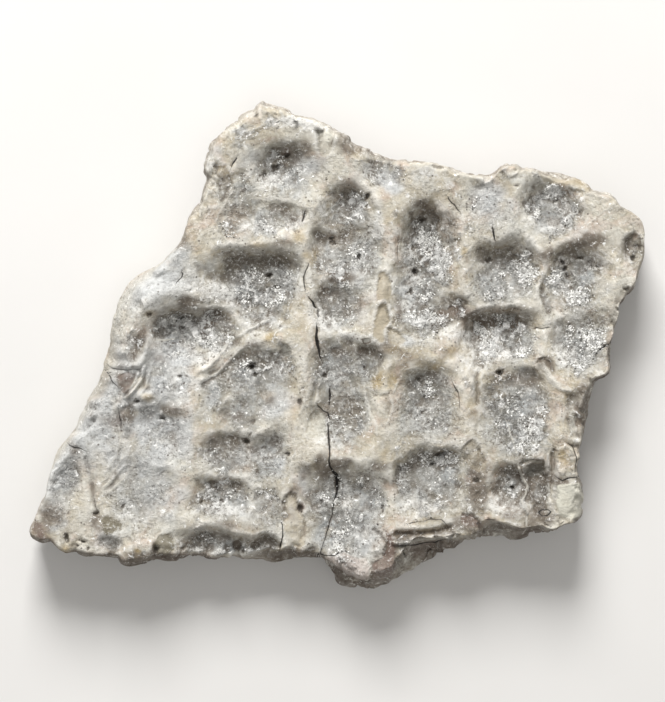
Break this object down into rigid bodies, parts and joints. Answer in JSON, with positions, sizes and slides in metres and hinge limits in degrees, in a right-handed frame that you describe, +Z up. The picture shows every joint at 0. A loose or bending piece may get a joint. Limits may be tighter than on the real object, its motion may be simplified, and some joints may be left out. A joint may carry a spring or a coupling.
{
  "type": "fossil amphibian scute",
  "caption": "Broken plate of fossil dermal bone, a rough kite-shaped slab whose outer face is a net of rounded ridges round deep pits, lying flat on its inner face.",
  "frame": {"origin": "centre of the plate's bounding rectangle, on the surface that it rests on", "axes": "+X along the plate's length, +Y across it towards the pointed top corner, +Z up out of the pitted outer face"},
  "size_m": [0.09, 0.0714, 0.0117],
  "materials": {
    "fossil_bone": "dry mineralised bone, matt, with cream ridges, grey pits and fine white crystal specks"
  },
  "bodies": {
    "root": {"scute": "fossil_bone"}
  },
  "joints": []
}
